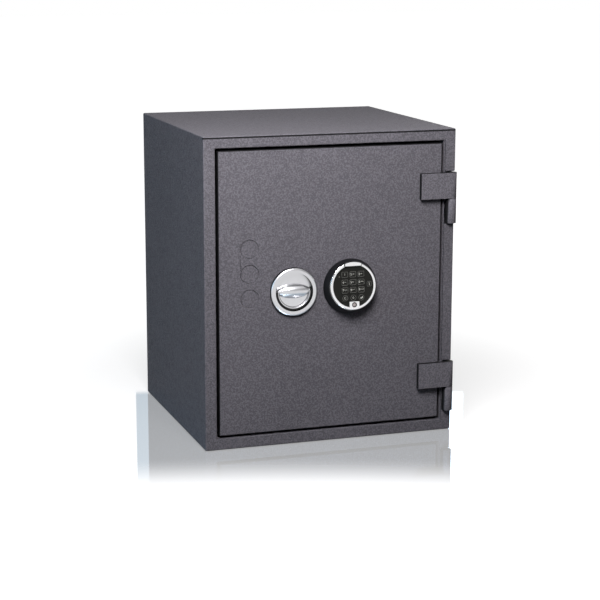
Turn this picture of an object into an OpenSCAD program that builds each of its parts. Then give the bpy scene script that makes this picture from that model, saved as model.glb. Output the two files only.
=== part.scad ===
// Fire-resistant safe with a flush door, three-way boltwork, a fold-out handle and a round keypad lock.
// +Z is up and the door faces -Y. The origin is the middle of the base, on the floor.

/* [Body] */
// Width of the body
body_w = 420; // [400:1:600]
// Depth of the body, without the handle and the keypad
body_d = 390; // [320:1:600]
// Height of the body
body_h = 500; // [440:1:800]
// Thickness of the outer casing sheet
casing_t = 3; // [2:0.5:3]
// Thickness of the whole wall, from the casing's face to the liner's face
wall_t = 55; // [50:1:70]
// Width of the frame seen round the door
lip_w = 19; // [17:1:24]

/* [Door] */
// Gap between the door and its frame
door_gap = 4; // [3.5:0.5:6]
// Thickness of the door slab
slab_t = 36; // [30:1:42]
// Depth of the boltwork frame behind the slab
boltwork_d = 36; // [34:1:44]
// Thickness of the door's sheet steel
skin_t = 3; // [2:0.5:4]

/* [Hinges] */
// Radius of the hinge barrels
barrel_r = 8.5; // [7:0.5:9]
// Radius of the hinge pins
pin_r = 4; // [3:0.5:5]
// Width of a hinge leaf, from its free edge to the pin's axis
leaf_w = 55; // [40:1:60]
// Height of a hinge leaf
leaf_h = 41.5; // [30:0.5:50]
// Height of the fixed knuckle under a leaf
knuckle_h = 41; // [30:1:50]

/* [Boltwork] */
// Radius of the locking bolts
bolt_r = 9; // [7:0.5:10]
// Travel of the locking bolts
throw = 24; // [18:1:26]
// Radius of the cam disc
cam_r = 50; // [48:1:54]
// Radius of the cam followers' pins
follower_r = 4; // [3:0.5:4]

/* [Handle] */
// Outer radius of the handle's fixed ring
ring_r = 39; // [36:1:44]
// Radius of the recess inside the ring
recess_r = 31; // [29:1:34]
// Distance of the handle's axis to the left of the middle
handle_off = 64; // [60:0.5:70]

/* [Keypad] */
// Radius of the keypad's housing at the door
housing_r = 45; // [43:1:48]
// Radius of the bright ring round the keypad's face
bezel_r = 38.3; // [38:0.1:42]
// Distance of the keypad's axis to the right of the middle
keypad_off = 31; // [28:1:45]
// Tilt of the keypad's face, upwards
keypad_tilt = 5; // [0:1:8]
// Spacing of the key columns
key_pitch_x = 13.7; // [13:0.1:14]
// Spacing of the key rows
key_pitch_z = 12.5; // [12:0.1:12.9]

/* [Anchors] */
// Radius of the anchor holes
anchor_r = 7; // [5:0.5:8]
// Half the spacing of the anchor holes, left to right
anchor_half = 100; // [60:1:110]

/* [Hidden] */
$fn = 64;

steel = "#5f5d63";
plated = "#c9cacc";
black = "#2b2b2b";
infill = "#b9b4a8";

// Clearances: part to part across a joint, round a shaft that turns, and how far a cut overshoots.
play = 0.3;
run_fit = 0.05;
eps = 1;

// Body. Depths are measured from the front face.
half_w = body_w / 2;
half_d = body_d / 2;
mid_z = body_h / 2;
jamb_t = 3;
liner_t = 1.5;
back_inset = 2;
open_x = half_w - lip_w;
liner_x = half_w - wall_t;
liner_top = body_h - wall_t;
liner_back = body_d - wall_t;
seal_room = 6;
rebate_y = slab_t + seal_room;
frame_back = rebate_y + jamb_t;
panel_y = body_d - back_inset - casing_t;

// Hinges. The pins' axis lies just in front of the face, near the body's right side.
hinge_x = half_w - 6;
hinge_y = -0.5;
leaf_z = [75, body_h - 112];
leaf_t = barrel_r - hinge_y;
notch_gap = 1.5;
notch_x = open_x + jamb_t + 0.5;
notch_d = barrel_r + 2;
pocket_t = 2;
washer_t = 0.9;
pin_foot = knuckle_h - 6;
pin_cover = 4;

// Door. The edges away from the hinges swing on wide circles, so the stepped-in boltwork frame
// keeps a margin to the liner at the widest point of its swing.
swing_margin = 2;
door_x = open_x - door_gap;
door_low = lip_w + door_gap;
door_high = body_h - door_low;
cover_t = 2;
frame_end = slab_t + boltwork_d;
swing_reach = hinge_x + liner_x - swing_margin;
swing_depth = frame_end + cover_t - hinge_y;
work_x = sqrt(swing_reach * swing_reach - swing_depth * swing_depth) - hinge_x;
work_gap = liner_x - work_x;
work_low = wall_t + work_gap;
work_high = body_h - work_low;
work_t = 5;

// Boltwork. The cam lies behind the slab, the bars behind the cam, and the bolts behind the bars.
cam_y = [slab_t + 3, slab_t + 9];
bar_y = [cam_y[1] + 1, cam_y[1] + 6];
bolt_set = 2;
bolt_y = bar_y[0] + bolt_r + bolt_set;
follow_r = 16;
tip_back = 1;
bolt_len = 50;
bar_w = 20;
side_pitch = 0.18 * body_h;
side_bar_x = -work_x + throw + 8;
level_bar = work_high - work_t - throw - bar_w - 1;
upright_x = 90;
dog_y = [bolt_y + 4, bolt_y + 11];
dog_reach = 8;
dog_h = 30;
dog_z = [mid_z - 110, mid_z + 110];
dog_room = [9, 3, 4];
lock_throw = 12;
lock_bolt_h = 12;
lock_bolt_len = 30;
lock_z = mid_z + 17;
lock_w = 84;
lock_h = 61;
lock_t = 28;
lock_low = mid_z - 19;
lock_x = -handle_off + cam_r + 5;
lock_tip = lock_x - 1;

// Handle.
ring_out = 6;
recess_d = 8;
dial_y = recess_d - ring_out;
dial_t = 5;
cup_t = 2;
spindle_r = 6;
flap_r = recess_r - 1.8;
flap_axis = [-0.5, 1];
flap_rim = 3.5;
boss_half = 25;
boss_rise = 11;
boss_end = 5;
flap_pin_r = 1.3;

// Keypad. Its face is tilted, so its pieces lie in a frame of their own at the housing's front.
housing_out = 15;
keypad_z = mid_z + 3;
face_rise = 3;
bezel_w = 4;
bezel_out = 1.8;
cavity_r = bezel_r - bezel_w;
key_size = [11.4, 9.8];
side_key_size = [8.4, 8.6];
side_key_place = [27.4, 2];
key_travel = 0.8;
key_flange = 0.6;
key_rise = 0.8;
rows_centre = -0.15;
key_top = rows_centre + 1.5 * key_pitch_z;
face_y = [0.2, 2.2];
board_y = [7.6, 9.2];
contact_r = 4.2;
contact_place = [1, contact_r + 0.1 - cavity_r];
contact_size = [16.4, 10.4];
contact_out = 2.6;
cap_low = 31.5;
cap_half = 14.5;
cap_t = 1.6;
cap_over = 0.4;

// Shelf and fill.
shelf_z = mid_z;
shelf_t = 1.5;
shelf_lip = 16;
shelf_front = frame_end + cover_t + 28;
bracket_t = 1.5;
bracket_w = 18;
bracket_h = 22;
bracket_reach = 16;
anchor_y = body_d * 0.6;
anchor_z = body_h * 0.7;

// A box between pairs of limits along X, Y and Z.
module block(x, y, z) {
    translate([x[0], y[0], z[0]])
        cube([x[1] - x[0], y[1] - y[0], z[1] - z[0]]);
}

// A rectangular tube along Y, by its outer limits and its wall.
module rect_tube(x, y, z, wall) {
    difference() {
        block([-x, x], y, z);
        block([-x + wall, x - wall], [y[0] - eps, y[1] + eps], [z[0] + wall, z[1] - wall]);
    }
}

// A round bar along Y, X or Z between two limits.
module round_y(r, y) {
    translate([0, y[0], 0])
        rotate([-90, 0, 0])
            cylinder(r = r, h = y[1] - y[0]);
}

module round_x(r, x) {
    translate([x[0], 0, 0])
        rotate([0, 90, 0])
            cylinder(r = r, h = x[1] - x[0]);
}

// A flat outline in X and Z, given a thickness along Y.
module plate_y(y) {
    translate([0, y[1], 0])
        rotate([90, 0, 0])
            linear_extrude(y[1] - y[0])
                children();
}

// A turned shape round an axis along Y: its outline is drawn as radius and depth.
module turned_y() {
    rotate([-90, 0, 0])
        rotate_extrude()
            children();
}

module at_front() {
    translate([0, -half_d, 0])
        children();
}

module at_handle() {
    translate([-handle_off, -half_d, mid_z])
        children();
}

module at_keypad() {
    translate([keypad_off, -half_d, keypad_z])
        children();
}

// The frame of the keypad's face: its Y axis is the way a key is pressed.
module at_face() {
    at_keypad()
        translate([0, -housing_out, face_rise])
            rotate([-keypad_tilt, 0, 0])
                children();
}

// One hinge: children are placed on the pin's axis at the foot of the leaf.
module at_hinges() {
    at_front()
        for (z = leaf_z)
            translate([hinge_x, hinge_y, z])
                children();
}

module side_bolt_axes() {
    for (z = [mid_z - side_pitch, mid_z, mid_z + side_pitch])
        translate([0, bolt_y, z])
            children();
}

module top_bolt_axes() {
    for (x = [-upright_x, upright_x])
        translate([x, bolt_y, 0])
            children();
}

module floor_anchor_axes() {
    for (x = [-anchor_half, anchor_half])
        translate([x, anchor_y, 0])
            children();
}

module back_anchor_axes() {
    for (x = [-anchor_half, anchor_half])
        translate([x, 0, anchor_z])
            children();
}

// Body.
sleeve_r = anchor_r + 2;
socket_bore = bolt_r + 1;
socket_r = socket_bore + 1.5;
socket_d = throw - tip_back - work_gap + 6;

module anchor_cuts() {
    floor_anchor_axes()
        translate([0, 0, -eps])
            cylinder(r = sleeve_r, h = wall_t + 2 * eps);
    back_anchor_axes()
        round_y(sleeve_r, [liner_back - eps, body_d + eps]);
}

module hinge_notches() {
    for (z = leaf_z)
        block([notch_x, half_w + eps], [-eps, notch_d], [z - knuckle_h - notch_gap, z + leaf_h + notch_gap]);
}

module outer_casing() {
    color(steel)
        at_front()
            difference() {
                block([-half_w, half_w], [0, body_d], [0, body_h]);
                block([-half_w + casing_t, half_w - casing_t], [casing_t, body_d + eps],
                    [casing_t, body_h - casing_t]);
                block([-open_x, open_x], [-eps, casing_t + eps], [lip_w, body_h - lip_w]);
                hinge_notches();
                anchor_cuts();
            }
}

module back_panel() {
    color(steel)
        at_front()
            difference() {
                block([-half_w + casing_t, half_w - casing_t], [panel_y, panel_y + casing_t],
                    [casing_t, body_h - casing_t]);
                anchor_cuts();
            }
}

module door_frame() {
    outer = open_x + jamb_t;
    height = [lip_w - jamb_t, body_h - lip_w + jamb_t];
    color(steel)
        at_front()
            union() {
                rect_tube(outer, [casing_t, frame_back], height, jamb_t);
                rect_tube(outer, [rebate_y, frame_back], height, outer - liner_x);
            }
}

// A box-shaped pocket for each dog bolt. It is deeper towards the front, as a dog leaves it that way.
module dog_pocket(grow) {
    half = dog_h / 2 + dog_room[1] + grow;
    for (z = dog_z)
        block([liner_x + liner_t, liner_x + dog_reach + dog_room[2] + grow],
            [dog_y[0] - dog_room[0] - grow, dog_y[1] + dog_room[1] + grow], [z - half, z + half]);
}

module liner_cuts() {
    side_bolt_axes()
        round_x(socket_bore, [-liner_x - liner_t - eps, -liner_x + eps]);
    top_bolt_axes()
        translate([0, 0, wall_t - liner_t - eps])
            cylinder(r = socket_bore, h = body_h - 2 * wall_t + 2 * liner_t + 2 * eps);
    translate([-liner_t - eps, 0, 0])
        dog_pocket(0);
}

module inner_liner() {
    outer = liner_x + liner_t;
    color(plated)
        at_front()
            difference() {
                block([-outer, outer], [frame_back, liner_back + liner_t],
                    [wall_t - liner_t, liner_top + liner_t]);
                block([-liner_x, liner_x], [frame_back - eps, liner_back], [wall_t, liner_top]);
                liner_cuts();
                anchor_cuts();
            }
}

// The space that one socket takes in the filling, along +Z from the liner's outer face.
module socket_body(grow) {
    cylinder(r = socket_r + grow, h = socket_d + 2 + grow);
}

module at_sockets() {
    side_bolt_axes()
        translate([-liner_x - liner_t, 0, 0])
            rotate([0, -90, 0])
                children();
    top_bolt_axes()
        translate([0, 0, liner_top + liner_t])
            children();
    top_bolt_axes()
        translate([0, 0, wall_t - liner_t])
            rotate([180, 0, 0])
                children();
}

module bolt_sockets() {
    color(plated)
        at_front() {
            at_sockets()
                difference() {
                    socket_body(0);
                    translate([0, 0, -eps])
                        cylinder(r = socket_bore, h = socket_d + eps);
                }
            difference() {
                dog_pocket(2);
                translate([-eps, 0, 0])
                    dog_pocket(0);
            }
        }
}

module wall_filling() {
    outer = half_w - casing_t;
    color(infill)
        at_front()
            difference() {
                block([-outer, outer], [casing_t, panel_y], [casing_t, body_h - casing_t]);
                block([-open_x - jamb_t, open_x + jamb_t], [0, frame_back],
                    [lip_w - jamb_t, body_h - lip_w + jamb_t]);
                block([-liner_x - liner_t, liner_x + liner_t], [frame_back - eps, liner_back + liner_t],
                    [wall_t - liner_t, liner_top + liner_t]);
                at_sockets()
                    socket_body(0);
                dog_pocket(2);
                anchor_cuts();
                for (z = leaf_z)
                    block([notch_x - 1, half_w], [0, notch_d + pocket_t],
                        [z - knuckle_h - notch_gap - pocket_t, z + leaf_h + notch_gap + pocket_t]);
            }
}

module hinge_pockets() {
    x = [open_x + jamb_t, half_w - casing_t];
    color(steel)
        at_front()
            for (z = leaf_z) {
                low = z - knuckle_h - notch_gap;
                high = z + leaf_h + notch_gap;
                difference() {
                    block(x, [casing_t, notch_d + pocket_t], [low - pocket_t, high + pocket_t]);
                    block([x[0] - eps, x[1] + eps], [casing_t - eps, notch_d], [low, high]);
                }
            }
}

module hinge_knuckles() {
    color(steel)
        at_hinges()
            difference() {
                union() {
                    translate([0, 0, -knuckle_h])
                        cylinder(r = barrel_r, h = knuckle_h - washer_t - play);
                    block([-barrel_r, half_w - hinge_x], [0, notch_d - hinge_y],
                        [-knuckle_h, -washer_t - play]);
                }
                translate([0, 0, -pin_foot])
                    cylinder(r = pin_r, h = knuckle_h);
            }
}

module hinge_pins() {
    color(plated)
        at_hinges()
            translate([0, 0, -pin_foot])
                cylinder(r = pin_r, h = pin_foot + leaf_h - pin_cover - 0.5);
}

module hinge_washers() {
    color("#b08d4a")
        at_hinges()
            translate([0, 0, -washer_t - play])
                difference() {
                    cylinder(r = barrel_r - 0.5, h = washer_t);
                    translate([0, 0, -eps])
                        cylinder(r = pin_r, h = washer_t + 2 * eps);
                }
}

module shelf() {
    x = liner_x - 1;
    back = liner_back - 2;
    color(plated)
        at_front()
            union() {
                block([-x, x], [shelf_front, back], [shelf_z, shelf_z + shelf_t]);
                block([-x, x], [shelf_front, shelf_front + shelf_t], [shelf_z - shelf_lip, shelf_z + shelf_t]);
                block([-x, x], [back - shelf_t, back], [shelf_z - shelf_lip, shelf_z + shelf_t]);
            }
}

// Angle brackets under the shelf, two on each side wall.
module shelf_brackets() {
    color(plated)
        at_front()
            for (side = [0, 1])
                for (y = [shelf_front + 30, liner_back - 50])
                    mirror([side, 0, 0])
                        union() {
                            block([liner_x - bracket_t, liner_x], [y, y + bracket_w], [shelf_z - bracket_h, shelf_z]);
                            block([liner_x - bracket_reach, liner_x], [y, y + bracket_w],
                                [shelf_z - bracket_t, shelf_z]);
                        }
}

module anchor_sleeves() {
    color(plated)
        at_front() {
            floor_anchor_axes()
                difference() {
                    cylinder(r = sleeve_r, h = wall_t);
                    translate([0, 0, -eps])
                        cylinder(r = anchor_r, h = wall_t + 2 * eps);
                }
            back_anchor_axes()
                difference() {
                    round_y(sleeve_r, [liner_back, body_d - back_inset]);
                    round_y(anchor_r, [liner_back - eps, body_d + eps]);
                }
        }
}

// Door slab.
plug_r = 14.2;
plug_z = [mid_z - 8, mid_z + 31.5, mid_z + 71.5];
plug_x = -half_w + 74;
cup_r = recess_r + cup_t;
cup_d = dial_y + dial_t + play + cup_t;
cable_r = 5;

module handle_cut(r, y) {
    translate([-handle_off, 0, mid_z])
        round_y(r, y);
}

module cable_cut(y) {
    translate([keypad_off, 0, keypad_z])
        round_y(cable_r, y);
}

module door_skin() {
    color(steel)
        at_front()
            difference() {
                block([-door_x, door_x], [0, slab_t - skin_t], [door_low, door_high]);
                block([-door_x + skin_t, door_x - skin_t], [skin_t, slab_t],
                    [door_low + skin_t, door_high - skin_t]);
                handle_cut(cup_r, [-eps, slab_t]);
                cable_cut([-eps, slab_t]);
                for (z = plug_z)
                    translate([plug_x, 0, z])
                        round_y(plug_r + 0.5, [-eps, slab_t]);
            }
}

module door_filling() {
    color(infill)
        at_front()
            difference() {
                block([-door_x + skin_t, door_x - skin_t], [skin_t, slab_t - skin_t],
                    [door_low + skin_t, door_high - skin_t]);
                handle_cut(cup_r, [0, cup_d]);
                handle_cut(spindle_r + 2, [0, slab_t]);
                cable_cut([0, slab_t]);
            }
}

module door_inner_plate() {
    color(plated)
        at_front()
            difference() {
                block([-door_x, door_x], [slab_t - skin_t, slab_t], [door_low, door_high]);
                handle_cut(spindle_r + 2, [0, slab_t + eps]);
                cable_cut([0, slab_t + eps]);
            }
}

module door_seal() {
    edge = door_x - 4;
    color(black)
        at_front()
            rect_tube(edge, [slab_t, rebate_y - 0.6], [door_low + 4, door_high - 4], 12);
}

module flush_plugs() {
    color(steel)
        at_front()
            for (z = plug_z)
                translate([plug_x, 0, z])
                    round_y(plug_r, [0.2, skin_t]);
}

module hinge_leaves() {
    color(steel)
        at_hinges()
            difference() {
                union() {
                    cylinder(r = barrel_r, h = leaf_h);
                    block([-leaf_w, 0], [-barrel_r, 0], [0, leaf_h]);
                    block([-leaf_w + 2, door_x - hinge_x - 2], [-eps, -hinge_y], [2, leaf_h - 2]);
                }
                translate([0, 0, -eps])
                    cylinder(r = pin_r + run_fit, h = leaf_h - pin_cover + eps);
            }
}

// Boltwork frame and its cover.
lug_w = 14;
lug_d = 10;
screw_r = 2;

module lug_places() {
    x = work_x - work_t - lug_w / 2;
    low = work_low + work_t + lug_w / 2;
    high = work_high - work_t - lug_w / 2;
    between = mid_z + side_pitch / 2;
    for (p = [[-x, low], [-x, between], [-x, high], [0, low], [0, high], [x, low], [x, mid_z], [x, high]])
        translate([p[0], 0, p[1]])
            children();
}

module boltwork_frame() {
    color(plated)
        at_front()
            difference() {
                union() {
                    rect_tube(work_x, [slab_t, frame_end], [work_low, work_high], work_t);
                    lug_places()
                        block([-lug_w / 2 - eps, lug_w / 2 + eps], [frame_end - lug_d, frame_end],
                            [-lug_w / 2 - eps, lug_w / 2 + eps]);
                }
                side_bolt_axes()
                    round_x(bolt_r + play, [-work_x - eps, -work_x + work_t + eps]);
                top_bolt_axes()
                    cylinder(r = bolt_r + play, h = body_h);
                lug_places()
                    round_y(screw_r, [frame_end - lug_d - eps, frame_end + eps]);
            }
}

module rear_cover() {
    color(steel)
        at_front()
            difference() {
                block([-work_x, work_x], [frame_end, frame_end + cover_t], [work_low, work_high]);
                lug_places()
                    round_y(screw_r, [frame_end - eps, frame_end + cover_t + eps]);
            }
}

module cover_screws() {
    head_r = 3.6;
    head_t = 1.8;
    head_y = frame_end + cover_t;
    color(plated)
        at_front()
            lug_places()
                difference() {
                    union() {
                        round_y(screw_r, [frame_end - lug_d + 1, head_y + 0.5]);
                        round_y(head_r, [head_y, head_y + head_t]);
                    }
                    block([-head_r, head_r], [head_y + 1, head_y + head_t + eps], [-0.5, 0.5]);
                    block([-0.5, 0.5], [head_y + 1, head_y + head_t + eps], [-head_r, head_r]);
                }
}

module dog_bolts() {
    color(plated)
        at_front()
            for (z = dog_z)
                block([work_x, liner_x + dog_reach], dog_y, [z - dog_h / 2, z + dog_h / 2]);
}

lock_y = [slab_t, slab_t + lock_t];
lock_bolt_y = [cam_y[0] - 0.5, cam_y[1] + 1.5];

module lock_case() {
    color(plated)
        at_front()
            difference() {
                block([lock_x, lock_x + lock_w], lock_y, [lock_low, lock_low + lock_h]);
                block([lock_x - eps, lock_tip + lock_bolt_len + 10],
                    [lock_bolt_y[0] - play, lock_bolt_y[1] + play],
                    [lock_z - lock_bolt_h / 2 - play, lock_z + lock_bolt_h / 2 + play]);
                cable_cut([slab_t - eps, slab_t + 4]);
            }
}

// The lock's own bolt, which drops into a notch in the cam when the boltwork is thrown.
module lock_bolt() {
    color("#b9a25c")
        at_front()
            block([lock_tip, lock_tip + lock_bolt_len], lock_bolt_y,
                [lock_z - lock_bolt_h / 2, lock_z + lock_bolt_h / 2]);
}

module spindle_bush() {
    color("#b08d4a")
        at_handle()
            difference() {
                union() {
                    round_y(spindle_r + 2, [cup_d, slab_t + 0.5]);
                    round_y(spindle_r + 5, [slab_t, slab_t + 1.5]);
                }
                round_y(spindle_r + run_fit, [cup_d - eps, slab_t + 2]);
            }
}

// Handle: a fixed ring with a cup behind it, and the dial that turns inside.
module handle_ring() {
    color(plated)
        at_handle()
            difference() {
                union() {
                    turned_y()
                        ring_outline();
                    round_y(cup_r, [-1, cup_d]);
                }
                round_y(recess_r, [-ring_out - eps, cup_d - cup_t]);
                round_y(spindle_r + 1, [0, cup_d + eps]);
            }
}

// Half section of the ring, rounded on its outer front edge.
module ring_outline() {
    edge_r = 4;
    difference() {
        translate([recess_r - 1, -ring_out])
            square([ring_r - recess_r + 1, ring_out]);
        translate([ring_r - edge_r, -ring_out])
            difference() {
                translate([0, -eps])
                    square([edge_r + eps, edge_r + eps]);
                translate([0, edge_r])
                    circle(r = edge_r);
            }
    }
}

// The dial's boss before it is cut flatter in front: a spindle turned about the flap's own axis,
// so that the flap clears it at every angle.
module boss_spindle(grow) {
    rise = boss_rise - boss_end;
    arc_r = (boss_half * boss_half + rise * rise) / (2 * rise);
    translate([0, flap_axis[0], flap_axis[1]])
        rotate([0, 90, 0])
            rotate_extrude()
                intersection() {
                    translate([boss_rise - arc_r, 0])
                        circle(r = arc_r + grow);
                    translate([0, -boss_half - grow])
                        square([2 * boss_rise, 2 * (boss_half + grow)]);
                }
}

module handle_dial() {
    dome_r = 14;
    ridge = -ring_out - 1.5;
    color(plated)
        at_handle()
            difference() {
                union() {
                    round_y(recess_r - play, [dial_y, dial_y + dial_t]);
                    intersection() {
                        boss_spindle(0);
                        translate([0, ridge + dome_r, flap_axis[1]])
                            round_x(dome_r, [-boss_half - eps, boss_half + eps]);
                        block([-recess_r, recess_r], [ridge - eps, dial_y + 1], [-recess_r, recess_r]);
                    }
                }
                translate([0, flap_axis[0], flap_axis[1]])
                    for (side = [-1, 1])
                        translate([side * (boss_half - 2), 0, 0])
                            round_x(flap_pin_r, [-5, 5]);
                round_y(spindle_r - 1, [dial_y + 2, dial_y + dial_t + eps]);
            }
}

module handle_spindle() {
    color(plated)
        at_handle()
            union() {
                round_y(spindle_r - 1, [dial_y + 2, dial_y + dial_t]);
                round_y(spindle_r, [dial_y + dial_t, cam_y[0]]);
                round_y(spindle_r - 1, [cam_y[0], cam_y[1] + 6]);
            }
}

module spindle_nut() {
    color(plated)
        at_handle()
            difference() {
                translate([0, cam_y[1], 0])
                    rotate([-90, 0, 0])
                        cylinder(r = 7, h = 4, $fn = 6);
                round_y(spindle_r - 1, [cam_y[1] - eps, cam_y[1] + 5]);
            }
}

// The fold-out grip: a half disc with a raised rim, cut to clear the boss.
module handle_flap() {
    web_y = [dial_y - 3.2, dial_y - play];
    rim_y = [dial_y - 6.4, dial_y - play];
    ear_r = dial_y - play - flap_axis[0];
    ear_in = boss_half + 0.4;
    ear_out = flap_r - 0.4;
    color(plated)
        at_handle()
            difference() {
                union() {
                    plate_y(web_y)
                        flap_outline(flap_r - 1);
                    plate_y(rim_y)
                        difference() {
                            flap_outline(flap_r);
                            circle(r = flap_r - flap_rim);
                        }
                    translate([0, flap_axis[0], flap_axis[1]])
                        for (x = [[ear_in, ear_out], [-ear_out, -ear_in]])
                            round_x(ear_r, x);
                }
                boss_spindle(0.5);
                translate([0, flap_axis[0], flap_axis[1]])
                    round_x(flap_pin_r, [-flap_r, flap_r]);
            }
}

// Half disc below the hinge line.
module flap_outline(r) {
    intersection() {
        circle(r = r);
        translate([-r, -r])
            square([2 * r, r + flap_axis[1]]);
    }
}

module flap_pins() {
    color(plated)
        at_handle()
            translate([0, flap_axis[0], flap_axis[1]])
                for (x = [[boss_half - 6, flap_r + 0.2], [-flap_r - 0.2, -boss_half + 6]])
                    round_x(flap_pin_r - run_fit, x);
}

// Cam disc. Each slot is a spiral that moves its follower outwards in step with the turn.
slot_half = follower_r + play + 0.05;
slot_turn = 90;
slot_step = 6;
spiral_gain = throw * 180 / (PI * slot_turn);

function spiral_r(a) = follow_r + throw * a / slot_turn;
function slope(a) = atan(spiral_gain / spiral_r(a));
function ray(a) = [cos(a), sin(a)];
function slot_edge(lead, a, side) = spiral_r(a) * ray(lead + a) + side * ray(lead + a - slope(a));

module spiral_slot(lead) {
    outer = [for (a = [0 : slot_step : slot_turn]) slot_edge(lead, a, slot_half)];
    inner = [for (a = [slot_turn : -slot_step : 0]) slot_edge(lead, a, -slot_half)];
    polygon(concat(outer, inner));
    for (a = [0, slot_turn])
        translate(spiral_r(a) * ray(lead + a))
            circle(r = slot_half + run_fit);
}

// The two notches that line up with the lock's bolt when the boltwork is drawn and when it is thrown.
module lock_notches() {
    half = lock_bolt_h / 2 + 0.6;
    floor_x = lock_tip - lock_throw - 1 + handle_off;
    for (turn = [0, slot_turn])
        rotate(turn)
            translate([floor_x, lock_z - mid_z - half])
                square([cam_r, 2 * half]);
}

module cam_disc() {
    color(plated)
        at_handle()
            plate_y(cam_y)
                difference() {
                    circle(r = cam_r, $fn = 180);
                    circle(r = spindle_r - 1);
                    for (lead = [90, 180, 270])
                        spiral_slot(lead);
                    lock_notches();
                }
}

// Bolt bars. The side bar slides to the left, the top bar up and the bottom bar down.
module follower_pin(x, z) {
    translate([x, 0, z])
        round_y(follower_r, [cam_y[0] + 0.5, bar_y[1]]);
}

arm_half = 6.5;

module side_bolt_bar() {
    reach = side_pitch + 12;
    pin_x = -handle_off - follow_r;
    color(plated)
        at_front()
            union() {
                block([side_bar_x, side_bar_x + bar_w], bar_y, [mid_z - reach, mid_z + reach]);
                block([side_bar_x, pin_x + arm_half], bar_y, [mid_z - arm_half, mid_z + arm_half]);
                follower_pin(pin_x, mid_z);
            }
}

module side_bolts() {
    color(plated)
        at_front()
            difference() {
                side_bolt_axes()
                    round_x(bolt_r, [-work_x + tip_back, -work_x + tip_back + bolt_len]);
                block([side_bar_x, side_bar_x + bar_w], bar_y, [0, body_h]);
                block([side_bar_x, 0], bar_y, [mid_z - arm_half, mid_z + arm_half]);
            }
}

module lift_bar() {
    reach = upright_x + 14;
    pin_z = mid_z + follow_r;
    union() {
        block([-reach, reach], bar_y, [level_bar, level_bar + bar_w]);
        block([-handle_off - arm_half, -handle_off + arm_half], bar_y, [pin_z - arm_half, level_bar + eps]);
        follower_pin(-handle_off, pin_z);
    }
}

module lift_bolts() {
    difference() {
        top_bolt_axes()
            translate([0, 0, work_high - tip_back - bolt_len])
                cylinder(r = bolt_r, h = bolt_len);
        block([-half_w, half_w], bar_y, [level_bar, level_bar + bar_w]);
    }
}

// Turns the top bar and bolts over about the handle's height.
module turned_over() {
    translate([0, 0, body_h])
        mirror([0, 0, 1])
            children();
}

module top_bolt_bar() {
    color(plated)
        at_front()
            lift_bar();
}

module top_bolts() {
    color(plated)
        at_front()
            lift_bolts();
}

module bottom_bolt_bar() {
    color(plated)
        at_front()
            turned_over()
                lift_bar();
}

module bottom_bolts() {
    color(plated)
        at_front()
            turned_over()
                lift_bolts();
}

// Keypad. The housing narrows from the door to its tilted front.

module keypad_housing() {
    color(black)
        difference() {
            hull() {
                at_keypad()
                    round_y(housing_r, [-1.5, 0]);
                at_face()
                    round_y(bezel_r + 1, [0, 2]);
            }
            at_face() {
                round_y(cavity_r + 0.2, [-eps, board_y[1]]);
                round_y(cavity_r - 3, [0, board_y[1] + 1.3]);
            }
            at_keypad()
                round_y(cable_r, [-housing_out, eps]);
        }
}

module bezel_outline() {
    edge_r = 1.2;
    difference() {
        translate([cavity_r, -bezel_out])
            square([bezel_w, bezel_out]);
        translate([bezel_r - edge_r, -bezel_out])
            difference() {
                translate([0, -eps])
                    square([edge_r + eps, edge_r + eps]);
                translate([0, edge_r])
                    circle(r = edge_r);
            }
    }
}

module keypad_bezel() {
    color(plated)
        at_face()
            difference() {
                turned_y()
                    bezel_outline();
                contact_block([-bezel_out - eps, eps]);
            }
}

module contact_block(y) {
    translate([contact_place[0], 0, contact_place[1]])
        block([-contact_size[0] / 2, contact_size[0] / 2], y, [-contact_size[1] / 2, contact_size[1] / 2]);
}

// A key's outline, centred on its place, with rounded corners and an even margin.
module key_outline(size, margin) {
    w = size[0] + 2 * margin;
    h = size[1] + 2 * margin;
    r = 2 + margin;
    square([w - 2 * r, h], center = true);
    square([w, h - 2 * r], center = true);
    for (x = [-w / 2 + r, w / 2 - r])
        for (z = [-h / 2 + r, h / 2 - r])
            translate([x, z])
                circle(r = r);
}

function key_place(column, row) = [(column - 1) * key_pitch_x, key_top - row * key_pitch_z];

module keypad_face() {
    color(black)
        at_face()
            plate_y(face_y)
                difference() {
                    circle(r = cavity_r);
                    for (row = [0 : 3])
                        for (column = [0 : 2])
                            translate(key_place(column, row))
                                key_outline(key_size, play);
                    translate(side_key_place)
                        key_outline(side_key_size, play);
                }
}

module key(place, size) {
    color(black)
        at_face()
            translate([place[0], 0, place[1]])
                union() {
                    plate_y([face_y[0] - key_rise, board_y[0] - key_travel - play])
                        key_outline(size, 0);
                    plate_y([face_y[1] + play, face_y[1] + play + key_flange])
                        key_outline(size, 0.5);
                }
}

module keypad_board() {
    color("#2e6b3e")
        at_face()
            round_y(cavity_r, board_y);
}

// Bright cap over the top of the ring: an arc above and a straight edge below.
module keypad_top_cap() {
    color(plated)
        at_face()
            plate_y([-bezel_out - cap_t, -bezel_out])
                intersection() {
                    circle(r = bezel_r + cap_over);
                    translate([-cap_half, cap_low])
                        square([2 * cap_half, bezel_r - cap_low + 1]);
                }
}

module contact_bezel() {
    color(plated)
        at_face()
            difference() {
                contact_block([-contact_out, face_y[0]]);
                translate([contact_place[0], 0, contact_place[1]])
                    round_y(contact_r, [-contact_out - eps, face_y[0] + eps]);
                difference() {
                    round_y(bezel_r, [0, face_y[0] + eps]);
                    round_y(cavity_r, [-eps, face_y[0] + 2 * eps]);
                }
            }
}

module contact_button() {
    color(plated)
        at_face()
            translate([contact_place[0], 0, contact_place[1]])
                union() {
                    round_y(contact_r, [-contact_out + 1.4, face_y[0]]);
                    round_y(contact_r - 1.8, [-contact_out + 0.4, 0]);
                }
}

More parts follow.
